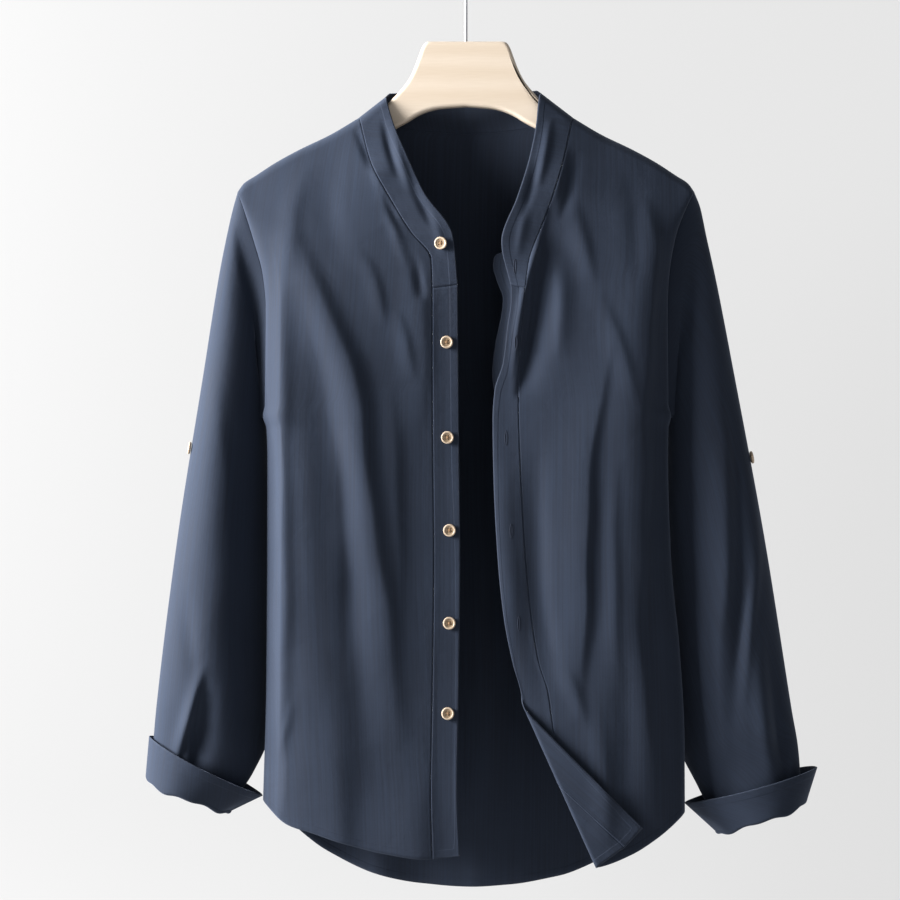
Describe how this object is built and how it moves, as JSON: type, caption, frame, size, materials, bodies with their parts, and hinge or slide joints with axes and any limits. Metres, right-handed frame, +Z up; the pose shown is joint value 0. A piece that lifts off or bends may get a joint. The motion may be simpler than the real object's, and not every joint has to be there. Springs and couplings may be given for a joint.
{
  "type": "collarless button shirt on a hanger",
  "caption": "Long-sleeved linen shirt with a low band collar and turned-up sleeve ends, hung open on a wooden hanger with a wire hook.",
  "frame": {"origin": "inner top of the hook's crook, where a rail carries the hanger", "axes": "+Z up along the hook's stem, -Y towards the shirt's front, +X towards the viewer's right"},
  "size_m": [0.6318, 0.112, 0.9049],
  "materials": {
    "linen": "matt navy linen weave",
    "buttons": "pale tan, smooth",
    "pale_wood": "pale, clear satin varnish",
    "wire": "bright plated wire"
  },
  "bodies": {
    "root": {"back_panel": "linen", "front_button_side": "linen", "front_buttonhole_side": "linen", "placket_button_side": "linen", "placket_buttonhole_side": "linen", "placket_under_layer": "linen", "collar_band": "linen", "sleeve_left": "linen", "sleeve_right": "linen", "cuff_left": "linen", "cuff_right": "linen", "button_1": "buttons", "button_2": "buttons", "button_3": "buttons", "button_4": "buttons", "button_5": "buttons", "button_6": "buttons", "sleeve_button_left": "buttons", "sleeve_button_right": "buttons", "hanger_board": "pale_wood", "hanger_hook": "wire"}
  },
  "joints": []
}
